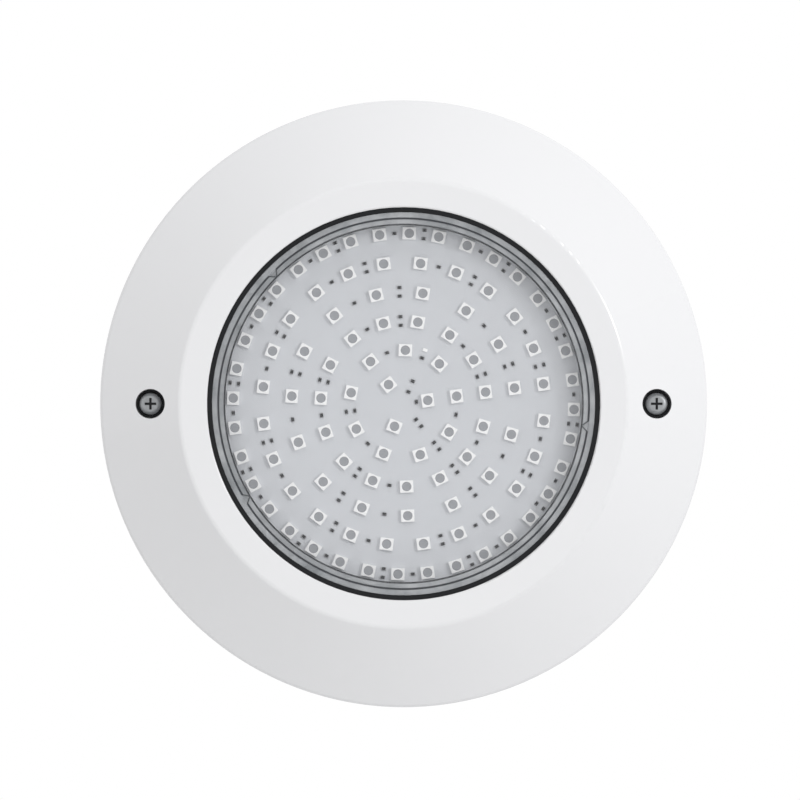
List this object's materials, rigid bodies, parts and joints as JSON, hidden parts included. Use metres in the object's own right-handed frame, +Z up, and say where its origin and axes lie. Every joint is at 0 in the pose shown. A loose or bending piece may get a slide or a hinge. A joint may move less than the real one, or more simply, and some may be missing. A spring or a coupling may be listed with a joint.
{
  "type": "underwater pool light",
  "caption": "Slim round LED pool light: glossy white ring, clear window over a board of LEDs, screwed to a wall plate with a cable gland behind.",
  "frame": {"origin": "centre of the wall plate's back face, on the pool wall's plane", "axes": "+Y points into the wall, the lamp faces -Y, +Z is up, the two face screws lie along X"},
  "size_m": [0.25, 0.047, 0.25],
  "materials": {
    "ring_plastic": "glossy moulded white",
    "gasket_rubber": "satin black",
    "clear_window": "clear polycarbonate",
    "seal_rubber": "satin black",
    "plate_plastic": "moulded white",
    "housing_plastic": "moulded pale grey",
    "brass_insert": "turned and knurled",
    "steel_screw": "stainless",
    "face_steel": "stainless, dulled by pool water",
    "washer_rubber": "satin black",
    "spreader_aluminium": "milled",
    "board_mask": "satin solder mask over an aluminium board",
    "led_housing": "satin white",
    "led_resin": "clear grey resin",
    "chip_black": "dull black",
    "solder_tin": "bright tin",
    "chip_white": "dull white",
    "driver_mask": "green solder mask",
    "standoff_nylon": "natural nylon",
    "ferrite": "dull ferrite",
    "can_aluminium": "bright can",
    "fuse_ceramic": "white ceramic",
    "terminal_plastic": "moulded green",
    "lead_red": "wire sheath",
    "lead_black": "wire sheath",
    "gland_plastic": "black nylon"
  },
  "bodies": {
    "wall_plate": {"wall_plate": "plate_plastic", "plate_inserts": "brass_insert"},
    "lamp": {"bridge_rectifiers": "chip_black", "capacitors": "can_aluminium", "driver_board": "driver_mask", "driver_chips": "chip_black", "driver_screws": "steel_screw", "driver_standoffs": "standoff_nylon", "face_ring": "ring_plastic", "fuse": "fuse_ceramic", "gland_body": "gland_plastic", "gland_clamp_nut": "gland_plastic", "gland_locknut": "gland_plastic", "gland_oring": "seal_rubber", "gland_sleeve": "seal_rubber", "heat_spreader": "spreader_aluminium", "housing_screws": "steel_screw", "inductors": "ferrite", "led_board": "board_mask", "led_frames_1": "led_housing", "led_frames_2": "led_housing", "led_frames_3": "led_housing", "led_frames_4": "led_housing", "led_frames_5": "led_housing", "led_frames_6": "led_housing", "led_windows_1": "led_resin", "led_windows_2": "led_resin", "led_windows_3": "led_resin", "led_windows_4": "led_resin", "led_windows_5": "led_resin", "led_windows_6": "led_resin", "negative_lead": "lead_black", "positive_lead": "lead_red", "rear_housing": "housing_plastic", "resistor_bodies": "chip_black", "resistor_terminals": "solder_tin", "terminal_block": "terminal_plastic", "white_chip": "chip_white", "window_gasket": "gasket_rubber", "window_lens": "clear_window", "window_seal": "seal_rubber"},
    "left_washer": {"left_washer": "washer_rubber"},
    "left_screw": {"left_screw": "face_steel"},
    "right_washer": {"right_washer": "washer_rubber"},
    "right_screw": {"right_screw": "face_steel"}
  },
  "joints": [
    {"name": "lamp_pull", "type": "slide", "parent": "wall_plate", "child": "lamp", "axis": [0, -1, 0], "range_m": [0, 0.05]},
    {"name": "left_screw_travel", "type": "slide", "parent": "lamp", "child": "left_washer", "axis": [0, -1, 0], "range_m": [0, 0.012]},
    {"name": "left_screw_turn", "type": "hinge", "parent": "left_washer", "child": "left_screw", "pos_m": [-0.104, -0.01, 0], "axis": [0, -1, 0], "range_deg": [0, 5400]},
    {"name": "right_screw_travel", "type": "slide", "parent": "lamp", "child": "right_washer", "axis": [0, -1, 0], "range_m": [0, 0.012]},
    {"name": "right_screw_turn", "type": "hinge", "parent": "right_washer", "child": "right_screw", "pos_m": [0.104, -0.01, 0], "axis": [0, -1, 0], "range_deg": [0, 5400]}
  ],
  "couplings": [
    {"joint": "left_screw_turn", "follows": "left_screw_travel", "rad_per_m": 7854},
    {"joint": "right_screw_turn", "follows": "right_screw_travel", "rad_per_m": 7854}
  ]
}
